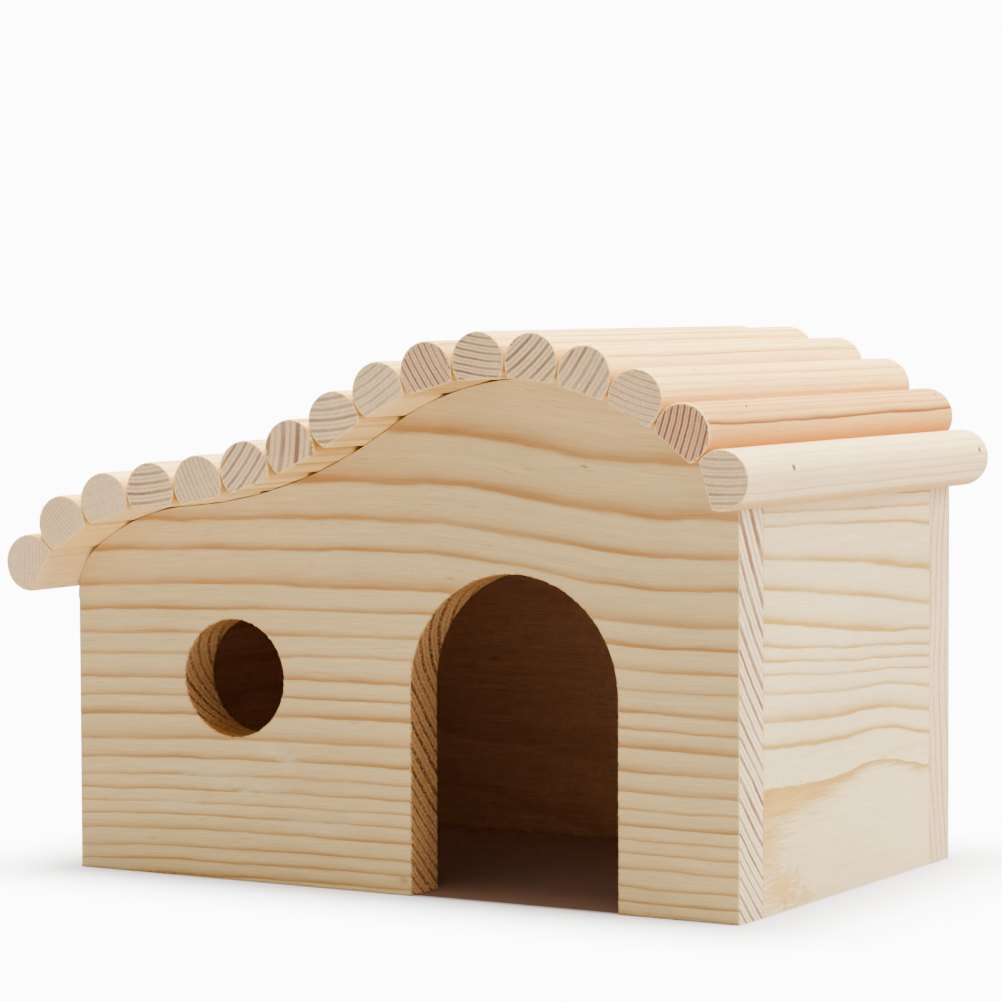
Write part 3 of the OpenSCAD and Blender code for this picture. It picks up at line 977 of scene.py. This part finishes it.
# %% Grow the logs
GOLDEN, AMBER = (0.94, 0.60, 0.185), (0.46, 0.20, 0.025)
ROSY, RUST = (0.62, 0.32, 0.075), (0.19, 0.06, 0.003)
COOL, STRAW = (0.86, 0.61, 0.29), (0.60, 0.36, 0.13)
END_GRAIN, END_LINES = (0.72, 0.485, 0.245), (0.24, 0.125, 0.062)
ROSY_GRAIN, ROSY_LINES = (0.63, 0.35, 0.165), (0.20, 0.07, 0.032)
HOLE_OPEN, HOLE_CLOSED, FRAY = 0.00068, 0.00036, 0.00017
HEART_AWAY, WOOD_SEED, SHAPE_SEED = 42, 7.3, 3.7
LOG_RINGS = (
    (88, 0.9, 0.35, -0.5), (-44, 0.75, 0.5, 0), (20, 2.5, 0.15, -0.4), (7, 1.85, 0.85, 0),
    (-62, 1.05, 0.6, -0.3), (51, 1.9, 1.0, 0), (84, 3.4, 1.0, 0.3), (7, 2.0, 0.8, 0),
    (34, 1.65, 0.6, 0), (-58, 1.25, 1.0, 0.6), (-7, 1.4, 1.0, 0.1), (41, 1.85, 0.95, 0),
    (54, 2.1, 0.85, 0), (-17, 1.2, 0.65, 0.25), (73, 1.3, 1.3, 1), (0, 1.6, 0.7, -1),
)


def between(a, b, share):
    """A colour part of the way from one to another."""
    return tuple(p + (q - p) * share for p, q in zip(a, b))


for number, ((x, z, slope), (lie, width, strength, tone)) in enumerate(zip(LOGS, LOG_RINGS), 1):
    away = math.radians(lie + 90)
    heart = spot(x + HEART_AWAY * math.cos(away), 0, z + HEART_AWAY * math.sin(away))
    pale, dark = (ROSY, RUST) if tone > 0 else (COOL, STRAW)
    rosy, share = max(tone, 0), abs(tone)
    log_pine = pine_material(
        f"log_pine_{number:02d}", heart, ALONG_Y, between(GOLDEN, pale, share),
        between(AMBER, dark, share), strength, number * WOOD_SEED, even_years(width),
        wander=1.0, shake=0.35, streaks=0.9, look=-0.25, weakest=0.3,
        ends=(between(END_GRAIN, ROSY_GRAIN, rosy), between(END_LINES, ROSY_LINES, rosy)),
    )
    log = grown(
        logs, f"log_{number:02d}", Diameter=LOG_WIDTH * MM, Seat=LOG_SEAT * MM,
        Length=(LOG_BACK - LOG_FRONT) * MM, Fray=FRAY, Seed=number * SHAPE_SEED,
        Hole=HOLE_OPEN if number == len(LOGS) else HOLE_CLOSED,
        Front_Nail=(FRONT_NAIL - LOG_MIDDLE) * MM, Back_Nail=(BACK_NAIL - LOG_MIDDLE) * MM,
        Slope=math.radians(slope), Place=spot(x, LOG_MIDDLE, z), Material=log_pine,
    )
    log.data.set_sharp_from_angle(angle=CREASE)
    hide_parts(f"roof_log_{number:02d}")
    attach(log, "root")
print("logs:", len(LOGS), "with faces each:", len(log.data.polygons))

# %% [markdown]
# ## Nails and dowels
# Two thin steel nails hold each log, sunk below its top, and short grooved dowels join
# the walls to the boards. All are small round pegs. One tree shapes a peg and puts a
# copy on every point that it is given. A point carries its own turn as an attribute, so
# the nails follow the slopes of the logs.

# %% Build the peg tree
PEG_CREASE = math.radians(30)

pegs, given, result = new_shape(
    "pegs", {FLOAT: ["Diameter", "Length", "Chamfer", "Grooves", "Groove Depth"]}
)
peg = put(pegs, "GeometryNodeMeshCylinder", {"fill_type": "NGON"},
          Vertices=48, Side_Segments=12, Radius=1.0, Depth=2.0)
place = put(pegs, "GeometryNodeInputPosition").outputs[0]
x, y, z = split(pegs, place)
from_end = minus(pegs, 1.0, math_node(pegs, "ABSOLUTE", z))
half = times(pegs, given["Length"], 0.5)
short = times(pegs, math_node(pegs, "POWER", from_end, 2.5), half)
along = times(pegs, math_node(pegs, "SIGN", z), minus(pegs, half, short))
angle = times(pegs, math_node(pegs, "ARCTAN2", y, x), given["Grooves"])
groove = times(pegs, minus(pegs, 1.0, math_node(pegs, "COSINE", angle)), given["Groove Depth"])
bevel = math_node(pegs, "MAXIMUM", minus(pegs, given["Chamfer"], short), 0.0)
reach = minus(pegs, times(pegs, given["Diameter"], 0.5), plus(pegs, groove, bevel))
shaped = join(pegs, times(pegs, x, reach), times(pegs, y, reach), along)
bent = put(pegs, "GeometryNodeSetPosition", Geometry=peg.outputs["Mesh"], Position=shaped)
turn = put(pegs, "GeometryNodeInputNamedAttribute", {"data_type": "FLOAT_VECTOR"}, Name="turn")
copies = put(pegs, "GeometryNodeInstanceOnPoints", Points=given["Geometry"],
             Instance=bent.outputs[0], Rotation=turn.outputs[0])
deliver(pegs, copies.outputs[0], given["Material"], result)


def set_pegs(name, places, slot, node, **values):
    """Pegs on a list of (place, turn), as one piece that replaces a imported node."""
    points = bpy.data.meshes.new(f"{name}_points")
    points.from_pydata([place for place, _ in places], [], [])
    turns = points.attributes.new("turn", "FLOAT_VECTOR", "POINT")
    turns.data.foreach_set("vector", [value for _, turn in places for value in turn])
    made = grown(pegs, name, points, **values)
    made.data.shade_smooth()
    made.data.set_sharp_from_angle(angle=PEG_CREASE)
    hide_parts(node)
    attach(made, "root")
    print(name, "faces:", len(made.data.polygons))


print("peg tree nodes:", len(pegs.nodes))

# %% [markdown]
# The nails' steel is dull from handling: fine scratches and cloudy patches change how
# rough it is and how grey.

# %% Make the nails
BRIGHT_STEEL, DULL_STEEL = (0.64, 0.63, 0.60, 1), (0.42, 0.40, 0.38, 1)
NAIL, NAIL_LENGTH, NAIL_SUNK, NAIL_CHAMFER = 1.2, 18.0, 0.8, 0.15

steel, tree, shader = new_material("nail_steel")
shader.inputs["Metallic"].default_value = 1.0
place = put(tree, "ShaderNodeTexCoord").outputs["Object"]
place = put(tree, "ShaderNodeMapping", Vector=place, Scale=(1 / MM, 1 / MM, 1 / MM)).outputs[0]
scratches = noise_node(tree, place, (6, 6, 0.8), 3.0, 0.7)
clouds = remap(tree, noise_node(tree, place, (0.9, 0.9, 0.9), 2.0), 0.35, 0.65, 0, 1)
tree.links.new(blend(tree, clouds, BRIGHT_STEEL, DULL_STEEL), shader.inputs["Base Color"])
tree.links.new(remap(tree, scratches, 0.3, 0.7, 0.28, 0.5), shader.inputs["Roughness"])

nail_reach = LOG_WIDTH / 2 - NAIL_SUNK - NAIL_LENGTH / 2
for side, y in (("front", FRONT_NAIL), ("back", BACK_NAIL)):
    places = []
    for x, z, slope in LOGS:
        lean = math.radians(slope)
        middle = spot(x - nail_reach * math.sin(lean), y, z + nail_reach * math.cos(lean))
        places.append((middle, (0.0, -lean, 0.0)))
    set_pegs(f"{side}_nails", places, "pin_steel", f"{side}_roof_pins", Diameter=NAIL * MM,
             Length=NAIL_LENGTH * MM, Chamfer=NAIL_CHAMFER * MM, Material=steel)

# %% Make the dowels
DOWEL, DOWEL_LENGTH, DOWEL_EDGE, DOWEL_DEPTH = 4.0, 16.0, 12.0, 6.0
DOWEL_CHAMFER, GROOVES, GROOVE = 0.5, 16.0, 0.12
dowel_wood = pine_material(
    "dowel_beech", spot(20, 0, 90), ALONG_Y, (0.72, 0.50, 0.32), (0.55, 0.34, 0.20),
    contrast=0.5, seed=5.0, count_years=even_years(1.1), wander=0.8, shake=0.3,
    ends=((0.66, 0.45, 0.29), (0.42, 0.25, 0.15)), look=-2.0,
)
for side, y in (("front", BOARD - DOWEL_DEPTH + DOWEL_LENGTH / 2),
                ("back", HOUSE_DEPTH - BOARD + DOWEL_DEPTH - DOWEL_LENGTH / 2)):
    places = [
        (spot(x, y, z), (math.radians(90), 0.0, 0.0))
        for x, top in ((WALL / 2, LEFT_CORNER[1]), (HOUSE_WIDTH - WALL / 2, RIGHT_CORNER[1]))
        for z in (DOWEL_EDGE, top - DOWEL_EDGE)
    ]
    set_pegs(f"{side}_dowel_set", places, "dowel_wood", f"{side}_dowels", Diameter=DOWEL * MM,
             Length=DOWEL_LENGTH * MM, Chamfer=DOWEL_CHAMFER * MM, Grooves=GROOVES,
             Groove_Depth=GROOVE * MM, Material=dowel_wood)

# %% Find the sizes of the house
low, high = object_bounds()
